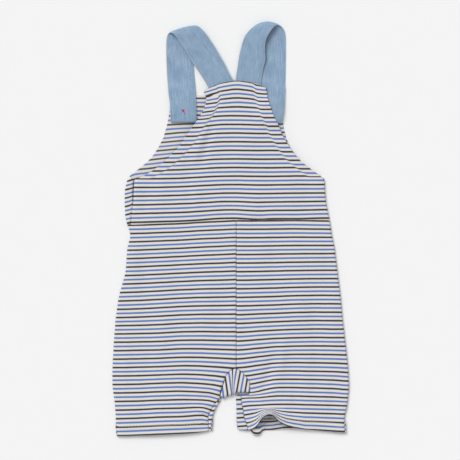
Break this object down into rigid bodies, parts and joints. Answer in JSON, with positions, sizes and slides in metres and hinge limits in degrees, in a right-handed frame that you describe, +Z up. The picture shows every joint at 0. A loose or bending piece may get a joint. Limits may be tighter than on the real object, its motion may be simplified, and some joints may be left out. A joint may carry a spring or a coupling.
{
  "type": "shortalls",
  "caption": "Small child's striped jersey shortalls with blue chambray button straps, laid flat and face down, back uppermost",
  "frame": {"origin": "on the floor, under the middle of the garment's length and width", "axes": "+Z up from the floor, +Y from the leg hems to the straps, +X to the wearer's right; the back lies uppermost"},
  "size_m": [0.279, 0.4849, 0.021],
  "materials": {
    "striped_jersey": "soft matte cotton jersey, cream with thin charcoal and mid-blue stripes",
    "chambray": "matte light-blue chambray, plain weave with a pale weft",
    "button_plastic": "smooth off-white plastic, soft gloss"
  },
  "bodies": {
    "root": {"back_bib": "striped_jersey", "back_leg_left": "striped_jersey", "back_leg_right": "striped_jersey", "front_bib": "striped_jersey", "front_leg_left": "striped_jersey", "front_leg_right": "striped_jersey", "gusset": "striped_jersey", "strap_left": "chambray", "strap_right": "chambray", "button_left": "button_plastic", "button_right": "button_plastic"}
  },
  "joints": []
}
